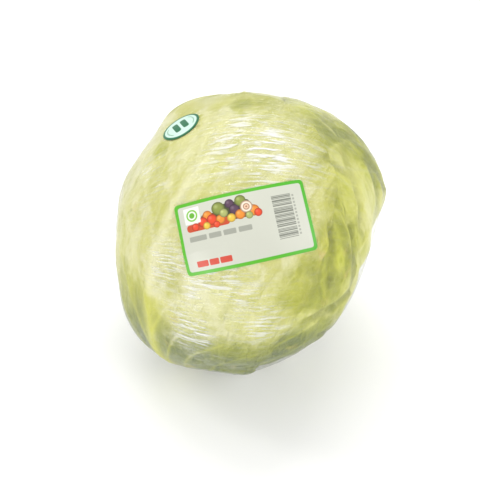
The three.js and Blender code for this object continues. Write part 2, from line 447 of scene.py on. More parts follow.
def join(material, source, target):
    """Leads a node's output to a socket, or sets a plain number, vector or colour there."""
    if isinstance(source, bpy.types.NodeSocket):
        material.node_tree.links.new(source, target)
    elif target.type == "RGBA":
        target.default_value = (*source, 1)
    else:
        target.default_value = source


def coordinates(material, kind):
    return add_node(material, "ShaderNodeTexCoord").outputs[kind]


def noise(material, vector, scale, detail, distortion=0.0, roughness=0.5):
    node = add_node(material, "ShaderNodeTexNoise")
    for name, value in (
        ("Vector", vector), ("Scale", scale), ("Detail", detail), ("Distortion", distortion),
        ("Roughness", roughness),
    ):
        join(material, value, node.inputs[name])
    return node.outputs


def vector_work(material, operation, *values):
    node = add_node(material, "ShaderNodeVectorMath", operation=operation)
    for value, socket in zip(values, node.inputs):
        join(material, value, socket)
    return node.outputs["Value" if operation in ("LENGTH", "DISTANCE") else "Vector"]


def bumped(material, height, strength, distance):
    node = add_node(material, "ShaderNodeBump")
    node.inputs["Strength"].default_value = strength
    node.inputs["Distance"].default_value = distance
    join(material, height, node.inputs["Height"])
    return node.outputs["Normal"]


def tools_for(material):
    """What a finish is put together with: stored values, sums, steps between two values, tints."""

    def stored(attribute):
        return add_node(material, "ShaderNodeAttribute", attribute_name=attribute).outputs["Fac"]

    def work(operation, a, b=0.0, clamp=True):
        node = add_node(material, "ShaderNodeMath", operation=operation, use_clamp=clamp)
        join(material, a, node.inputs[0])
        join(material, b, node.inputs[1])
        return node.outputs["Value"]

    def spread_between(value, low, high, top=1.0, bottom=0.0):
        node = add_node(material, "ShaderNodeMapRange")
        for name, source in (
            ("Value", value), ("From Min", low), ("From Max", high), ("To Min", bottom),
            ("To Max", top),
        ):
            join(material, source, node.inputs[name])
        return node.outputs["Result"]

    def tint(under, colour, share):
        node = add_node(material, "ShaderNodeMix", data_type="RGBA")
        for name, source in (("A", under), ("B", colour), ("Factor", share)):
            join(material, source, node.inputs[name])
        return node.outputs["Result"]

    return stored, work, spread_between, tint


# The dark green of the painted shade.
PAINTED_SHADE_GREEN = (0.10, 0.14, 0.008)
BRUISE_BROWN = (0.60, 0.45, 0.10)
SPECK_OLIVE = (0.36, 0.36, 0.06)


# The deep colour is painted shade, for the grooves, creases and hollows.
def leaf_finish(name, laid, streak_scale, rib, blade, green, deep, green_share):
    """Waxy cabbage leaf: cream ribs, a pale blade with greener patches, a net of fine veins."""
    material, shader = new_material(name)
    stored, work, spread_between, tint = tools_for(material)
    place = coordinates(material, "Object")

    def grain(scale, detail, distortion=0.0):
        return noise(material, place, scale, detail, distortion)["Fac"]

    # Tints towards the deep colour: painted shade, and on some facets a darker tone at random.
    def deepened(colour, where, more_on_green, everywhere):
        share = work("ADD", work("MULTIPLY", greener, more_on_green), everywhere)
        return tint(colour, deep, work("MULTIPLY", where, share))

    # Long streaks and puckers run up the blade: pale where they stand out, greener between, and
    # darkened there with painted shade.
    lengthwise = vector_work(material, "MULTIPLY", coordinates(material, laid), streak_scale)
    crinkle = spread_between(noise(material, lengthwise, 1, 7, 1.2, 0.6)["Fac"], 0.35, 0.66)

    # Packed close, the blade is crumpled into long facets, each a little paler or greener, and
    # painted shade darkens the creases at their edges.
    crumple = noise(material, lengthwise, 0.35, 3)["Color"]
    crumple = vector_work(material, "MULTIPLY_ADD", crumple, (1.1, 1.1, 0), lengthwise)
    facets = add_node(material, "ShaderNodeTexVoronoi", feature="F1")
    facets.inputs["Scale"].default_value = 0.6
    join(material, crumple, facets.inputs["Vector"])
    facet_tone = add_node(material, "ShaderNodeSeparateColor")
    join(material, facets.outputs["Color"], facet_tone.inputs["Color"])
    creases = spread_between(facets.outputs["Distance"], 0.30, 0.75)

    margin = stored("margin")
    patches = spread_between(grain(38, 6, 0.8), 0.66 - green_share, 0.80 - green_share * 0.6)
    lit = work("MULTIPLY", stored("greened"), 0.5)
    lit = work("ADD", lit, work("MULTIPLY", grain(42, 4, 0.8), 0.5))
    lit = spread_between(lit, 0.42, 0.56)
    greener = work("MAXIMUM", work("MULTIPLY", patches, 0.55), lit)
    greener = work("MAXIMUM", greener, work("MULTIPLY", margin, 0.6))
    mottle = grain(52, 3, 0.5)
    pale = tint(blade, green, spread_between(mottle, 0.50, 0.60, 0.26))
    pale = tint(pale, rib, spread_between(mottle, 0.47, 0.38, 0.8))
    pale = tint(pale, rib, work("MULTIPLY", crinkle, 0.4))
    sunk = work("SUBTRACT", 1.0, work("MULTIPLY", crinkle, 0.35))
    colour = tint(pale, green, work("MULTIPLY", greener, sunk))
    light = tint(rib, green, work("MULTIPLY", greener, 0.85))
    # Painted shade in the grooves between the streaks.
    between = work("SUBTRACT", 0.75, crinkle)
    colour = deepened(colour, between, 0.7, 0.12)
    # Painted shade in the relief's hollows and furrows.
    colour = tint(colour, deep, work("MULTIPLY", stored("hollow"), 0.4))
    colour = tint(colour, light, spread_between(facet_tone.outputs["Red"], 0.6, 1.0, 0.4))
    darker = spread_between(facet_tone.outputs["Green"], 0.5, 1.0, 0.4)
    colour = deepened(colour, darker, 0.7, 0.1)
    # Painted shade at the creases between the facets.
    colour = deepened(colour, creases, 0.55, 0.06)
    # Painted shade underneath and at the listed places, a little less on the streaks' crests.
    dull = work("SUBTRACT", 1.0, work("MULTIPLY", crinkle, 0.25))
    colour = tint(colour, PAINTED_SHADE_GREEN, work("MULTIPLY", stored("dulled"), dull))

    veins = add_node(material, "ShaderNodeTexVoronoi", feature="DISTANCE_TO_EDGE")
    veins.inputs["Scale"].default_value = 120
    bend = noise(material, place, 60, 2)["Color"]
    bend = vector_work(material, "MULTIPLY_ADD", bend, (0.006, 0.006, 0.006), place)
    join(material, bend, veins.inputs["Vector"])
    net = spread_between(veins.outputs["Distance"], 0.09, 0.0)
    colour = tint(colour, light, work("MULTIPLY", net, 0.16))
    colour = tint(colour, light, stored("rib"))
    bruise = spread_between(grain(75, 2), 0.66, 0.74, 0.5)
    colour = tint(colour, BRUISE_BROWN, work("MULTIPLY", bruise, work("ADD", margin, 0.45)))
    colour = tint(colour, SPECK_OLIVE, spread_between(grain(150, 3), 0.70, 0.74, 0.6))
    join(material, colour, shader.inputs["Base Color"])

    join(material, spread_between(grain(120, 3), 0.3, 0.7, 0.62, 0.42), shader.inputs["Roughness"])
    shader.inputs["Subsurface Weight"].default_value = 0.06
    shader.inputs["Subsurface Radius"].default_value = (0.9, 1.0, 0.4)
    shader.inputs["Subsurface Scale"].default_value = 0.004

    puckers = work("MULTIPLY", grain(75, 4, 0.7), 0.5)
    height = work("ADD", work("MULTIPLY", crinkle, 0.35), work("MULTIPLY", net, 0.08))
    height = work("ADD", height, puckers)
    bulge = work("SUBTRACT", 1.0, facets.outputs["Distance"])
    height = work("ADD", work("MULTIPLY", height, 0.7), work("MULTIPLY", bulge, 0.5))
    join(material, bumped(material, height, 0.8, 4.0 * MM), shader.inputs["Normal"])
    return material


# Its deep colour is painted shade.
heart_finish = leaf_finish(
    "heart_leaf", "Object", (126, 126, 37), rib=(0.80, 0.80, 0.55), blade=(0.72, 0.72, 0.34),
    green=(0.60, 0.62, 0.20), deep=(0.40, 0.42, 0.10), green_share=0.0,
)
finish_piece(heart, heart_finish, "heart", "heart")


# ---- The cut stem -------------------------------------------------------------------------------
# The stump that the head was cut from, under the leaves' bases. The knife leaves a flat face with a
# corky rim, a ring of vessels and a pale pith, and it has dried and darkened a little.

STEM_SIDES = 72
STEM_EDGE = 1.5 * MM  # rounded by this much
STEM_RINGS = 8  # cut into each end, to shape it
RING_SPACE = 1.7 * MM
VESSELS_AT = 12 * MM  # from the middle
VESSELS_WIDE = 1.2 * MM
PITH_SUNK = 0.5 * MM

bpy.ops.object.select_all(action="DESELECT")
stem_length = stem_high[2] - stem_low[2]
bpy.ops.mesh.primitive_cylinder_add(
    vertices=STEM_SIDES, radius=STEM_RADIUS, depth=stem_length, end_fill_type="NGON",
    location=(middle[0], middle[1], (stem_low[2] + stem_high[2]) / 2),
)
stem = bpy.context.object
stem.name = "cut_stem_stump"
bpy.ops.object.transform_apply(location=True, rotation=True, scale=True)
bpy.ops.object.mode_set(mode="EDIT")
bpy.ops.mesh.select_all(action="SELECT")
bpy.ops.mesh.bevel(offset=STEM_EDGE, segments=3, affect="EDGES")
bpy.ops.object.mode_set(mode="OBJECT")
for face in stem.data.polygons:
    face.select = len(face.vertices) > 8
bpy.ops.object.mode_set(mode="EDIT")
for _ in range(STEM_RINGS):
    bpy.ops.mesh.inset(thickness=RING_SPACE)
bpy.ops.mesh.poke()
bpy.ops.mesh.select_all(action="SELECT")
bpy.ops.mesh.subdivide(number_cuts=1)
bpy.ops.object.mode_set(mode="OBJECT")
stem_points = mesh_points(stem)
from_axis = stem_points[:, :2] - middle[:2]
stem_radii = np.linalg.norm(from_axis, axis=1)
knots = rib_grain(*(from_axis.T * 2.2 / STEM_RADIUS), stem_points[:, 2] * 120)
grooves = -0.05 * (0.5 + 0.5 * knots) * np.clip(stem_radii / STEM_RADIUS - 0.6, 0, 1) / 0.4
stem_points[:, :2] += from_axis * grooves[:, None]
cut_face = stem_points[:, 2] < stem_low[2] + 0.2 * MM
ring_of_vessels = np.exp(-(((stem_radii - VESSELS_AT) / VESSELS_WIDE) ** 2))
stem_points[:, 2] += np.where(cut_face, PITH_SUNK * (1 - ring_of_vessels), 0)
move_points(stem, stem_points)

stem_finish, stem_shader = new_material("cut_stem")
_, stem_work, _, _ = tools_for(stem_finish)
stem_place = coordinates(stem_finish, "Object")
off_axis = vector_work(stem_finish, "SUBTRACT", stem_place, (middle[0], middle[1], 0))
off_axis = vector_work(stem_finish, "MULTIPLY", off_axis, (1, 1, 0))
off_axis = vector_work(stem_finish, "LENGTH", off_axis)
stem_rings = add_node(stem_finish, "ShaderNodeValToRGB")
stem_share = stem_work("DIVIDE", off_axis, STEM_RADIUS, clamp=False)
join(stem_finish, stem_share, stem_rings.inputs["Fac"])
STEM_COLOURS = [  # from the middle out to the rim
    (0.00, (0.80, 0.78, 0.55)), (0.62, (0.76, 0.73, 0.48)), (0.71, (0.55, 0.58, 0.28)),
    (0.80, (0.74, 0.70, 0.44)), (0.94, (0.48, 0.38, 0.20)),
]
for share, colour in STEM_COLOURS[1:-1]:
    stem_rings.color_ramp.elements.new(share)
for element, (share, colour) in zip(stem_rings.color_ramp.elements, STEM_COLOURS):
    element.position = share
    element.color = (*colour, 1)
stem_fibres = noise(stem_finish, stem_place, 500, 3)
stem_mix = add_node(stem_finish, "ShaderNodeMix", data_type="RGBA", blend_type="MULTIPLY")
stem_mix.inputs["Factor"].default_value = 0.4
join(stem_finish, stem_rings.outputs["Color"], stem_mix.inputs["A"])
join(stem_finish, stem_fibres["Color"], stem_mix.inputs["B"])
join(stem_finish, stem_mix.outputs["Result"], stem_shader.inputs["Base Color"])
stem_shader.inputs["Roughness"].default_value = 0.75
stem_bump = bumped(stem_finish, stem_fibres["Fac"], 1.0, 0.4 * MM)
join(stem_finish, stem_bump, stem_shader.inputs["Normal"])
finish_piece(stem, stem_finish, "stem", "cut_stem")


# ---- The leaves ---------------------------------------------------------------------------------
# Eight separate waxy leaves, each growing from the stem and bent round the ball. A thick pale midrib
# runs up each, side veins leave it at a slant, the blade puckers between them, and the edge is thin,
# wavy and pressed down on the leaf below.

LEAF_COLUMNS = 116
LEAF_ROWS = 128
VEINS = 4.2  # side veins to each half of a leaf's length
BLADE_SHARE = 0.8  # of the leaf's thickness, where the blade is whole
THINNEST_SHARE = 0.2
vein_grain = smooth_grain(11)
edge_grain = smooth_grain(12)
pucker_grain = smooth_grain(13)


def veins_of_leaf(across, along, seed):
    """How much of each point is midrib and side vein, from 0 to 1."""
    outward = np.abs(across)
    upward = (1 - along) / 2
    rib_width = 0.012 + 0.075 * upward ** 1.3
    midrib = np.exp(-((across / rib_width) ** 2)) * np.clip(upward * 2.2 + 0.25, 0, 1)
    wobble = 0.10 * vein_grain(outward * 3, along * 2, seed)
    course = along - 0.62 * outward ** 0.75 + wobble + 0.11 * (across > 0)
    nearest = np.abs((course * VEINS + seed * 0.37) % 1 - 0.5) * 2 / VEINS
    vein_width = 0.012 + 0.030 * (1 - outward) * (0.4 + 0.6 * upward)
    side_veins = np.exp(-((nearest / vein_width) ** 2)) * np.clip(1.15 - outward, 0, 1) ** 0.8
    return midrib, side_veins


def make_leaf(name, azimuth, tip, spread, depth_at, seed, finish, slot_name):
    bpy.ops.object.select_all(action="DESELECT")
    bpy.ops.mesh.primitive_grid_add(
        x_subdivisions=LEAF_COLUMNS, y_subdivisions=LEAF_ROWS, size=2,
    )
    leaf = bpy.context.object
    leaf.name = name + "_blade"
    flat = mesh_points(leaf)
    across, along = flat[:, 0], flat[:, 1]
    outward = np.maximum(np.abs(across), np.maximum(along, -0.2 * along))
    margin = np.clip((outward - 0.80) / 0.20, 0, 1)

    # The outline wanders in and out, most at the sides and the tip.
    wave = edge_grain(across * 2.4, along * 2.6, seed) + 0.6 * edge_grain(
        across * 6, along * 7, seed + 9)
    loose = np.clip(outward, 0, 1) ** 6 * np.clip(along + 1, 0, 0.5) * 2
    polar, sideways = spot_on_leaf(
        tip, spread, degrees_from_stem(STEM_RADIUS + STEM_GAP, wrapper_bottom),
        across, along,
    )
    polar = polar + np.radians(2.2) * wave * loose * (along > 0.3)
    sideways = sideways * (1 + 0.035 * wave * loose)

    around = math.radians(azimuth)
    along_midrib = np.stack([
        np.sin(polar) * math.cos(around), np.sin(polar) * math.sin(around), -np.cos(polar),
    ], axis=1)
    to_side = np.array([-math.sin(around), math.cos(around), 0])
    directions = (along_midrib * np.cos(sideways)[:, None] + to_side * np.sin(sideways)[:, None])

    midrib, side_veins = veins_of_leaf(across, along, seed)
    puckers = pucker_grain(across * 9, along * 13, seed) * (1 - midrib) * (1 - margin)
    ruffle = edge_grain(across * 14, along * 16, seed + 4) * margin
    raised = (1.5 * midrib + 0.65 * side_veins + 0.30 * puckers + 0.35 * ruffle
              - 1.9 * margin ** 1.5) * MM
    depth = depth_at(turn_from_midrib(polar, sideways))
    move_points(leaf, in_head(directions, depth - raised))

    packed = relief(directions) - swell(directions, BRIDGED)
    keep_values(leaf, "rib", np.clip(0.9 * midrib + 0.55 * side_veins, 0, 1))
    keep_values(leaf, "margin", margin)
    # Painted shade: how deep each point lies in a hollow or furrow.
    keep_values(leaf, "hollow", np.clip(
        (-packed / MM - 0.1) / 2.4 + furrowed(directions) / 2.6, 0, 1))
    keep_values(leaf, "greened", greened(directions))
    keep_values(leaf, "dulled", dulled(directions))
    stout = leaf.vertex_groups.new(name="stout")
    thickness = 1 - 0.65 * margin
    for index, share in enumerate(thickness):
        stout.add([index], float(share), "REPLACE")
    shell = leaf.modifiers.new("thickness", "SOLIDIFY")
    shell.thickness = LEAF_THICKNESS * BLADE_SHARE
    shell.offset = -1
    shell.vertex_group = "stout"
    shell.thickness_vertex_group = THINNEST_SHARE
    bpy.ops.object.modifier_apply(modifier="thickness")
    leaf.vertex_groups.clear()
    finish_piece(leaf, finish, slot_name, name)
    return leaf


# Their deep colours are painted shade.
pale_leaf = leaf_finish(
    "pale_leaf", "UV", (24, 10, 1), rib=(0.76, 0.74, 0.41), blade=(0.59, 0.58, 0.14),
    green=(0.56, 0.57, 0.005), deep=(0.25, 0.27, 0.005), green_share=0.10,
)
green_leaf = leaf_finish(
    "green_leaf", "UV", (24, 10, 1), rib=(0.76, 0.75, 0.27), blade=(0.61, 0.62, 0.07),
    green=(0.57, 0.60, 0.006), deep=(0.18, 0.20, 0.004), green_share=0.14,
)

leaves = [make_leaf(
    *COVER_LEAF, lambda turn: np.full(len(turn), cover_depth), 1, pale_leaf, "leaf_pale",
)]
for number, (name, azimuth, tip, spread) in enumerate(WRAPPER_LEAVES):
    leaves.append(make_leaf(
        name, azimuth, tip, spread,
        lambda turn: wrapper_top + sink * (widest_turn - turn),
        number + 2, green_leaf, "leaf_green",
    ))


# The head is packed until it fills the film: each leaf moves out by what is missing above it.
FILL_SPOTS = 900
FILL_SPREAD = math.radians(12)
FILL_TO = 0.8 * MM  # below the film's outer surface
START_RADIUS = 0.14  # well outside the head
FILL_FROM = -55  # degrees up from level: below this the leaves stay put, round the stem
FILL_OVER = 25


def head_radii_in(directions, pieces):
    """How far from the ball's middle these pieces reach, in each direction."""
    points, faces, first = [], [], 0
    for piece in pieces:
        points.append(mesh_points(piece))
        faces += [[first + v for v in face.vertices] for face in piece.data.polygons]
        first += len(piece.data.vertices)
    tree = BVHTree.FromPolygons(np.concatenate(points).tolist(), faces)
    return np.array([
        START_RADIUS - tree.ray_cast(Vector(middle + d * START_RADIUS), Vector(-d))[3]
        for d in directions
    ])


spots = np.arange(FILL_SPOTS) + 0.5
spot_rise = np.arcsin(1 - 2 * spots / FILL_SPOTS)
spot_around = math.pi * (1 + math.sqrt(5)) * spots
spot_directions = np.stack([
    np.cos(spot_rise) * np.cos(spot_around), np.cos(spot_rise) * np.sin(spot_around),
    np.sin(spot_rise),
], axis=1)
lack = reach(spot_directions, FILL_TO) + swell(spot_directions, BRIDGED)
lack -= head_radii_in(spot_directions, [heart] + leaves)
lack *= np.clip((np.degrees(spot_rise) - FILL_FROM) / FILL_OVER, 0, 1)
for piece in [heart] + leaves:
    offsets = mesh_points(piece) - middle
    piece_radii = np.linalg.norm(offsets, axis=1)[:, None]
    piece_directions = offsets / piece_radii
    nearness = np.exp((piece_directions @ spot_directions.T - 1) * 2 / FILL_SPREAD ** 2)
    push = (nearness @ lack) / nearness.sum(axis=1)
    move_points(piece, middle + piece_directions * (piece_radii + push[:, None]))


# ---- The stretch film ---------------------------------------------------------------------------
# One sheet of clear cling film, pulled tight from side to side across the head and gathered in
# pleats under the stem. It touches the leaves where they stand out and bridges the hollows. The
# stretching leaves fine creases along the pull, and where the sheet laps itself it folds.

FILM_CUTS = 127  # across each side of the cube that the film's ball starts as
FILM_CLEAR = 0.25 * MM  # from the leaves
FILM_ROUNDS = 700  # of pulling each point in to its neighbours' mean
BAG_LOOSE = 5 * MM  # round the leaves, before it is pulled tight
GATHERED_BELOW = -38  # degrees up from level, where the pleats begin
GATHERED_OVER = 22

bpy.ops.object.select_all(action="DESELECT")
bpy.ops.mesh.primitive_cube_add(size=2)
film = bpy.context.object
film.name = "cling_film"
bpy.ops.object.mode_set(mode="EDIT")
bpy.ops.mesh.select_all(action="SELECT")
bpy.ops.mesh.subdivide(number_cuts=FILM_CUTS)
bpy.ops.object.mode_set(mode="OBJECT")
film_directions = np.tan(mesh_points(film) * math.pi / 4)
film_directions /= np.linalg.norm(film_directions, axis=1)[:, None]

head_radii = head_radii_in(film_directions, [heart, stem] + leaves)

# The film starts as a loose round bag and is pulled in, point by point, to its neighbours' mean,
# until it rests on the leaves.
edges = np.empty(len(film.data.edges) * 2, dtype=int)
film.data.edges.foreach_get("vertices", edges)
ends_a, ends_b = edges.reshape(-1, 2).T
edge_angles = np.linalg.norm(film_directions[ends_a] - film_directions[ends_b], axis=1)
count = len(film_directions)
valence = np.bincount(edges, minlength=count)
pull = 1 - np.bincount(edges, np.repeat(edge_angles ** 2, 2), count) / valence / 2
outside = reach(film_directions, 0)
rest_on = np.minimum(head_radii + FILM_CLEAR, outside + BAG_LOOSE)
radii = outside + BAG_LOOSE
for _ in range(FILM_ROUNDS):
    near = np.bincount(ends_a, radii[ends_b], count) + np.bincount(ends_b, radii[ends_a], count)
    radii = np.maximum(rest_on, near / valence * pull)

film_x, film_y, film_z = film_directions.T
along_x = np.arcsin(np.clip(film_x, -1, 1))
girth = np.maximum(np.cos(along_x), 1e-6)
round_x = np.stack([-film_y, film_z]) / girth  # round the axis that the film is pulled along
film_rise = np.degrees(np.arcsin(np.clip(film_z, -1, 1)))
crease_grain = smooth_grain(21)
patch_grain = smooth_grain(22)
sway = 0.05 * patch_grain(*(film_directions.T * 2.5))  # the creases aren't quite straight
fine = crease_grain(*((round_x + sway) * 42), along_x * 2.6)
broad = crease_grain(*((round_x + sway) * 17 + 9), along_x * 1.6)
creased = np.clip(0.55 + 0.9 * patch_grain(*(film_directions.T * 2.2 + 4)), 0.1, 1)
side = girth ** 0.7
gathered = np.clip((GATHERED_BELOW - film_rise) / GATHERED_OVER, 0, 1)
creases = (0.11 * np.abs(fine) ** 1.5 + 0.16 * np.abs(broad) ** 2) * creased * side
creases *= 1 - 0.8 * gathered

# Pleats under the head, drawn together at the stem.
level = np.maximum(np.hypot(film_x, film_y), 1e-6)
round_z = np.stack([film_x, film_y]) / level
pleats = np.abs(crease_grain(*(round_z * 9), film_rise / 30)) + 0.5 * np.abs(
    crease_grain(*(round_z * 22), film_rise / 22))
creases += 0.9 * gathered * pleats

# Where it's stretched over the leaves and fine creases turn it milky, laid where glare shows:
# partly real haze and partly a painted highlight. Azimuth, elevation, spread and share.
MILKY_AND_GLARE_SPOTS = [
    (-80, 74, 18, 1.0),
    (-40, 66, 13, 0.5),
    (-105, 16, 13, 0.9),
    (-99, 8, 14, 0.9),
    (-111, -4, 11, 0.8),
    (-88, 3, 11, 0.6),
    (-108, -20, 14, 0.25),
    (-155, 42, 15, 0.45),
    (-125, 20, 9, 0.6),
    (60, 35, 22, 0.6),
    (160, 5, 20, 0.5),
]

# Lapped folds: each runs from one place to another, in degrees round and up.
FOLDS = [
    ((-128, -34), (-58, -20), 0.5),
    ((-112, -44), (-52, -27), 0.4),
    ((-126, -27), (-72, -10), 0.3),
    ((-120, -39), (-62, -20), 0.35),
    ((-108, -29), (-60, -12), 0.25),
    ((-104, -40), (-58, -33), 0.35),
    ((-135, 66), (-20, 34), 0.3),
    ((-40, 58), (8, 22), 0.45),
    ((-100, -8), (-150, -22), 0.15),
    ((40, 30), (120, 10), 0.5),
    ((150, 20), (100, -25), 0.5),
    ((-170, 30), (170, -30), 0.4),
]
folds = np.zeros(count)
for (a0, e0), (a1, e1), height in FOLDS:
    wander = 0.02 * patch_grain(*(film_directions.T * 4 + height * 30))
    off, ends = near_line(film_directions, (a0, e0), (a1, e1), wander)
    folds = np.maximum(folds, np.exp(-((off / 0.009) ** 2)) * ends * height)
radii = radii + (creases + folds) * MM

# It lies flat where the head stands on it.
down = np.maximum(-film_z, 1e-6)
radii = np.where(film_z < 0, np.minimum(radii, middle_height / down), radii)
move_points(film, middle + film_directions * radii[:, None])
keep_values(film, "fold", np.clip(folds * 1.6, 0, 1))
keep_values(film, "pleat", np.clip(gathered * (0.15 + pleats), 0, 1))
keep_values(film, "round_pull_front", round_x[0])
keep_values(film, "round_pull_up", round_x[1])
# Milky haze: partly real crease haze, partly a painted highlight where glare shows.
keep_values(film, "tight", np.clip(np.max([
    share * bell(film_directions, a, e, spread) for a, e, spread, share in MILKY_AND_GLARE_SPOTS
], axis=0), 0, 1))
keep_values(film, "along_pull", along_x)


# Part of its white haze is a painted highlight, laid where glare shows.
def film_finish():
    """Clear film: mostly gloss over what is behind, with white haze in its creases and folds."""
    material, shader = new_material("cling_film")
    material.node_tree.nodes.remove(shader)
    stored, work, spread_between, _ = tools_for(material)

    pulled = add_node(material, "ShaderNodeCombineXYZ")
    for kept, socket in zip(("round_pull_front", "round_pull_up", "along_pull"), pulled.inputs):
        join(material, stored(kept), socket)

    def streaks(fine_scale, long_scale, detail):
        scale = (fine_scale, fine_scale, long_scale)
        stretched = vector_work(material, "MULTIPLY", pulled.outputs["Vector"], scale)
        return noise(material, stretched, 1, detail, 0.3)["Fac"]

    def mixed(share, under, over):
        node = add_node(material, "ShaderNodeMixShader")
        for source, socket in zip((share, under, over), node.inputs):
            join(material, source, socket)
        return node.outputs["Shader"]

    patches = noise(material, coordinates(material, "Object"), 30, 3)["Fac"]
    patches = spread_between(patches, 0.33, 0.54)
    lines = work("MULTIPLY", spread_between(streaks(48, 7, 6), 0.48, 0.60), patches)
    # Milky haze at the listed places: partly real crease haze, partly a painted highlight.
    tight = work("ADD", work("MULTIPLY", stored("tight"), 0.85), 0.03)
    haze = work("ADD", work("MULTIPLY", lines, tight), work("MULTIPLY", stored("fold"), 0.11))
    haze = work("ADD", haze, work("MULTIPLY", stored("pleat"), 0.4))
    haze = work("ADD", haze, work("ADD", work("MULTIPLY", stored("tight"), 0.10), 0.01))

    clear = add_node(material, "ShaderNodeBsdfTransparent")
    gloss = add_node(material, "ShaderNodeBsdfAnisotropic")
    gloss.inputs["Roughness"].default_value = 0.16
    join(material, bumped(material, streaks(40, 6, 6), 1.0, 1.6 * MM), gloss.inputs["Normal"])
    milky = add_node(material, "ShaderNodeBsdfDiffuse")
    milky.inputs["Color"].default_value = (0.93, 0.94, 0.93, 1)
    facing = add_node(material, "ShaderNodeLayerWeight")
    facing.inputs["Blend"].default_value = 0.5
    mirrored = work("MULTIPLY", work("POWER", facing.outputs["Facing"], 4.0), 0.5)
    mirrored = work("ADD", mirrored, 0.045)
    glossed = mixed(mirrored, clear.outputs["BSDF"], gloss.outputs["BSDF"])
    hazed = mixed(haze, glossed, milky.outputs["BSDF"])
    join(material, hazed, material.node_tree.nodes["Material Output"].inputs["Surface"])
    return material


finish_piece(film, film_finish(), "film", "stretch_film")


# ---- The paper label ----------------------------------------------------------------------------
# A printed label of satin paper, stuck on the film. It has a bright green border, a band of pictured
# vegetables, plain bars where a product's words would go, and a strip of bars for the till.

LABEL_WIDTH = 86 * MM
LABEL_HEIGHT = 47 * MM
LABEL_CORNER = 2.5 * MM
PAPER_THICKNESS = 0.2 * MM
PAPER_GAP = 0.15 * MM  # the glue
PAPER_ROUNDS = 300  # of easing it over the film's crests
UV_SPAN = 100  # the papers' UV maps run over this many millimetres
LABEL_PLACE = (-92, 41.5, -13.4)  # azimuth, elevation and turn
LABEL_COLUMNS = 121
LABEL_ROWS = 67


def stick_on_film(flat, rows, columns, azimuth, elevation, turn):
    """Wraps a flat grid, x across and y up from its middle, on the film at this place."""
    centre = toward(azimuth, elevation)
    right = np.cross([0, 0, 1], centre)
    right /= np.linalg.norm(right)
    up = np.cross(centre, right)
    angle = math.radians(-turn)
    right, up = (
        right * math.cos(angle) + up * math.sin(angle),
        up * math.cos(angle) - right * math.sin(angle),
    )
    size = reach(centre[None], 0)[0]
    away = np.maximum(np.hypot(flat[:, 0], flat[:, 1]), 1e-9)
    side = (right * flat[:, :1] + up * flat[:, 1:2]) / away[:, None]
    directions = centre * np.cos(away / size)[:, None] + side * np.sin(away / size)[:, None]
    # The paper is stiffer than the film: it lies on the film's crests and spans between them.
    lowest = head_radii_in(directions, [film]) + PAPER_GAP + PAPER_THICKNESS
    lowest = lowest.reshape(rows + 1, columns + 1)
    paper_radii = lowest
    for _ in range(PAPER_ROUNDS):
        wide = np.pad(paper_radii, 1, mode="reflect", reflect_type="odd")
        mean = (wide[2:, 1:-1] + wide[:-2, 1:-1] + wide[1:-1, 2:] + wide[1:-1, :-2]) / 4
        paper_radii = np.maximum(lowest, mean)
    return middle + directions * paper_radii.reshape(-1, 1)


def make_paper(name, columns, rows, shape):
    """A flat grid shaped by shape(x, y), each from -1 to 1, with its UV map in millimetres."""
    bpy.ops.object.select_all(action="DESELECT")
    bpy.ops.mesh.primitive_grid_add(x_subdivisions=columns, y_subdivisions=rows, size=2)
    paper = bpy.context.object
    paper.name = name
    square = mesh_points(paper)
    flat = shape(square[:, 0], square[:, 1])
    corners = np.empty(len(paper.data.loops), dtype=int)
    paper.data.loops.foreach_get("vertex_index", corners)
    uv = paper.data.uv_layers.active.data
    uv.foreach_set("uv", (flat[corners] / MM / UV_SPAN + 0.5).ravel())
    return paper, flat


def give_thickness(paper, thickness):
    bpy.context.view_layer.objects.active = paper
    shell = paper.modifiers.new("thickness", "SOLIDIFY")
    shell.thickness = thickness
    shell.offset = -1
    bpy.ops.object.modifier_apply(modifier="thickness")


def label_shape(x, y):
    x, y = x * LABEL_WIDTH / 2, y * LABEL_HEIGHT / 2
    inner = np.array([LABEL_WIDTH / 2 - LABEL_CORNER, LABEL_HEIGHT / 2 - LABEL_CORNER])
    over = np.stack([np.abs(x), np.abs(y)], axis=1) - inner
    corner = (over > 0).all(axis=1)
    length = np.linalg.norm(over, axis=1)
    reach_out = np.maximum(over[:, 0], over[:, 1])
    rounded = over * np.where(corner, reach_out / np.maximum(length, 1e-9), 1)[:, None]
    place = rounded + inner
    return np.stack([np.sign(x) * place[:, 0], np.sign(y) * place[:, 1]], axis=1)


label, label_flat = make_paper("paper_label_sheet", LABEL_COLUMNS, LABEL_ROWS, label_shape)
move_points(label, stick_on_film(label_flat, LABEL_ROWS, LABEL_COLUMNS, *LABEL_PLACE))
give_thickness(label, PAPER_THICKNESS)


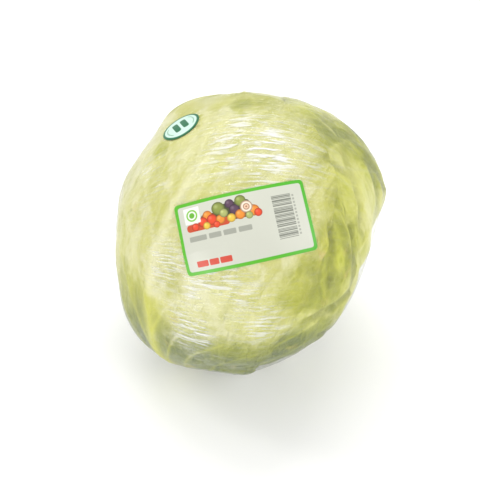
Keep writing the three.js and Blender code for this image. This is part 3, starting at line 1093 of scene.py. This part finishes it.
def paper_finish(name, paper_colour):
    """Satin paper, ready to print on: its material, and what measures it and prints a colour."""
    material, shader = new_material(name)
    _, work, _, tint = tools_for(material)
    shader.inputs["Roughness"].default_value = 0.42
    shader.inputs["Coat Weight"].default_value = 0.15
    shader.inputs["Coat Roughness"].default_value = 0.25
    # In millimetres from the paper's middle.
    spot = vector_work(
        material, "MULTIPLY_ADD", coordinates(material, "UV"), (UV_SPAN, UV_SPAN, 0),
        (-UV_SPAN / 2, -UV_SPAN / 2, 0),
    )
    printed = {"colour": paper_colour}

    def number(operation, a, b=0.0, clamp=False):
        return work(operation, a, b, clamp)

    def box(x0, x1, y0, y1, corner=0.3, edge=0.12):
        """1 inside a rectangle with round corners."""
        off = vector_work(material, "SUBTRACT", spot, ((x0 + x1) / 2, (y0 + y1) / 2, 0))
        off = vector_work(material, "ABSOLUTE", off)
        square = ((x1 - x0) / 2 - corner, (y1 - y0) / 2 - corner, 0)
        past = vector_work(material, "SUBTRACT", off, square)
        far = vector_work(material, "LENGTH", vector_work(material, "MAXIMUM", past))
        return number("DIVIDE", number("SUBTRACT", corner + edge, far), edge, True)

    def disc(x, y, radius, edge=0.15):
        """How deep inside a disc: 1 well inside, 0 outside. Also the distance, in radii."""
        far = vector_work(material, "DISTANCE", spot, (x, y, 0))
        inside = number("DIVIDE", number("SUBTRACT", radius, far), edge, True)
        return inside, number("DIVIDE", far, radius)

    def ink(colour, share):
        printed["colour"] = tint(printed["colour"], colour, share)

    def done():
        grain = noise(material, coordinates(material, "Object"), 900, 3)["Fac"]
        join(material, bumped(material, grain, 0.15, 0.05 * MM), shader.inputs["Normal"])
        join(material, printed["colour"], shader.inputs["Base Color"])

    return material, number, box, disc, ink, spot, done


WHITE_PAPER = (0.59, 0.60, 0.51)
BORDER_GREEN = (0.093, 0.45, 0.015)
GREY_INK = (0.20, 0.21, 0.17)
RED_INK = (0.60, 0.05, 0.02)

label_finish, number, box, disc, ink, spot, finish_label = paper_finish(
    "printed_label", WHITE_PAPER)

# The band of pictured vegetables: a brown, green and red ground, and shaded round shapes from the
# back to the front, each a place, a radius and its colour.
for x0, x1, y0, y1, colour in (
    (-26.0, 9.0, 6.0, 13.0, (0.16, 0.05, 0.015)),
    (-17.0, 6.0, 9.0, 17.0, (0.06, 0.07, 0.02)),
    (-36.5, -8.0, 4.0, 8.6, (0.55, 0.07, 0.02)),
):
    ink(colour, box(x0, x1, y0, y1, 2.0))
TOMATO = (0.80, 0.07, 0.02)
CARROT = (0.85, 0.27, 0.03)
LEMON = (0.80, 0.52, 0.06)
SPROUT = (0.25, 0.30, 0.06)
CABBAGE = (0.40, 0.44, 0.14)
GRAPE = (0.10, 0.05, 0.09)
ONION = (0.80, 0.55, 0.38)
VEGETABLES = [
    (-14.0, 15.0, 4.2, SPROUT), (-6.5, 16.4, 3.0, GRAPE), (-4.0, 12.2, 3.4, GRAPE),
    (0.5, 17.0, 3.6, SPROUT), (-21.5, 12.0, 3.2, CARROT), (-25.0, 8.6, 3.2, TOMATO),
    (-19.0, 9.0, 3.4, TOMATO), (-30.5, 6.6, 2.6, TOMATO), (-13.6, 8.0, 3.0, CARROT),
    (-11.0, 11.4, 2.8, CABBAGE), (-6.8, 7.4, 2.8, LEMON), (-1.0, 8.4, 3.2, CARROT),
    (7.8, 9.2, 3.6, CARROT), (10.2, 7.4, 2.6, TOMATO), (3.6, 12.4, 4.0, ONION),
    (-23.0, 5.9, 2.4, LEMON), (-16.5, 5.4, 2.2, TOMATO), (4.4, 6.8, 2.4, CABBAGE),
]
for x, y, radius, colour in VEGETABLES:
    inside, far = disc(x, y, radius)
    ink(colour, inside)
    shade = number("MULTIPLY", inside, number("POWER", far, 4.0, True))
    ink(tuple(c * 0.25 for c in colour), shade)
    shine, _ = disc(x - radius * 0.3, y + radius * 0.35, radius * 0.45, radius * 0.45)
    ink(tuple(min(c * 1.6 + 0.12, 1) for c in colour), number("MULTIPLY", shine, 0.55))
# The cut onion shows its rings.
for radius, colour in (
    (3.2, (0.86, 0.74, 0.60)), (2.2, (0.42, 0.24, 0.16)), (1.5, ONION), (0.7, (0.35, 0.18, 0.10)),
):
    ink(colour, disc(3.6, 12.4, radius)[0])
# A plain emblem in a white square: a pea in its ring.
EMBLEM_WHITE = (0.80, 0.82, 0.76)
ink(EMBLEM_WHITE, box(-37.0, -26.4, 9.2, 19.6, 0.6))
for radius, colour in ((3.9, (0.20, 0.52, 0.04)), (2.9, EMBLEM_WHITE), (1.9, (0.13, 0.42, 0.03))):
    ink(colour, disc(-31.7, 14.4, radius)[0])

# Plain bars where the words would go.
for start, end in ((-36.0, -24.5), (-22.8, -15.0), (-13.4, -5.5), (-3.8, 4.5)):
    ink(GREY_INK, number("MULTIPLY", box(start, end, -2.3, 0.9, 0.5), 0.62))
for start, end in ((-34.5, -27.0), (-26.0, -20.0), (-19.0, -11.5)):
    ink(RED_INK, box(start, end, -18.8, -15.0, 0.6))

# The strip of bars for the till, with a row of ticks beside it.
BAR_WIDTHS = [1, 2, 1, 3, 1, 1, 2, 1, 1, 2, 3, 1, 2, 1, 1, 3, 1, 2, 2, 1, 1, 2, 1, 3, 1, 1]
BAR_GAPS = [1, 1, 2, 1, 2, 1, 3, 1, 1, 1, 2, 1, 1, 2, 1, 1, 2, 1, 3, 1, 1, 2, 1, 1, 2, 1]
STRIP_LENGTH = 28.0
BAR_UNIT = STRIP_LENGTH / (sum(BAR_WIDTHS) + sum(BAR_GAPS))
top = 15.5
for width, gap in zip(BAR_WIDTHS, BAR_GAPS):
    bottom = top - width * BAR_UNIT
    ink(GREY_INK, box(20.0, 32.5, bottom, top, 0.02, 0.08))
    top = bottom - gap * BAR_UNIT
for tick in range(12):
    y = 14.0 - tick * 2.25
    ink(GREY_INK, number("MULTIPLY", box(33.4, 34.6, y - 0.6, y + 0.6, 0.2), 0.6))

# The green border, a little darker to the right.
inner_field = box(-40.7, 40.7, -21.2, 21.2, 1.6)
border = number("SUBTRACT", 1.0, inner_field, True)
ink(BORDER_GREEN, border)
split = add_node(label_finish, "ShaderNodeSeparateXYZ")
join(label_finish, spot, split.inputs["Vector"])
to_right = number("MULTIPLY", number("DIVIDE", split.outputs["X"], 40.0, True), 0.6)
ink((0.05, 0.40, 0.01), number("MULTIPLY", border, to_right))
finish_label()
finish_piece(label, label_finish, "label_paper", "paper_label")


# ---- The round sticker --------------------------------------------------------------------------
# A small die-cut disc of satin paper on the film, with a dark green ring round a pale mint ground
# and a plain mark in the middle.

STICKER_RADIUS = 13.5 * MM
STICKER_CELLS = 40
STICKER_PLACE = (167, 61, -35)  # azimuth, elevation and turn


def sticker_shape(x, y):
    round_shape = np.stack([x * np.sqrt(1 - y * y / 2), y * np.sqrt(1 - x * x / 2)], axis=1)
    return round_shape * STICKER_RADIUS


sticker, sticker_flat = make_paper(
    "round_sticker_disc", STICKER_CELLS, STICKER_CELLS, sticker_shape)
move_points(sticker, stick_on_film(sticker_flat, STICKER_CELLS, STICKER_CELLS, *STICKER_PLACE))
give_thickness(sticker, PAPER_THICKNESS)

DARK_GREEN = (0.0, 0.14, 0.05)
PALE_MINT = (0.58, 0.80, 0.68)
sticker_finish, number, box, disc, ink, _, finish_sticker = paper_finish(
    "printed_sticker", DARK_GREEN)
ink(PALE_MINT, disc(0, 0, 11.9)[0])
for x0, x1, y0, y1 in ((-6.2, 6.2, 1.0, 5.0), (-6.2, 6.2, -5.0, -1.0)):
    ink(DARK_GREEN, box(x0, x1, y0, y1, 1.5))
for step in range(-4, 5):
    for base in (90, -90):
        angle = math.radians(base + step * 9)
        ink(DARK_GREEN, number("MULTIPLY", disc(
            9.7 * math.cos(angle), 9.7 * math.sin(angle), 0.6)[0], 0.8))
finish_sticker()
finish_piece(sticker, sticker_finish, "sticker_paper", "round_sticker")
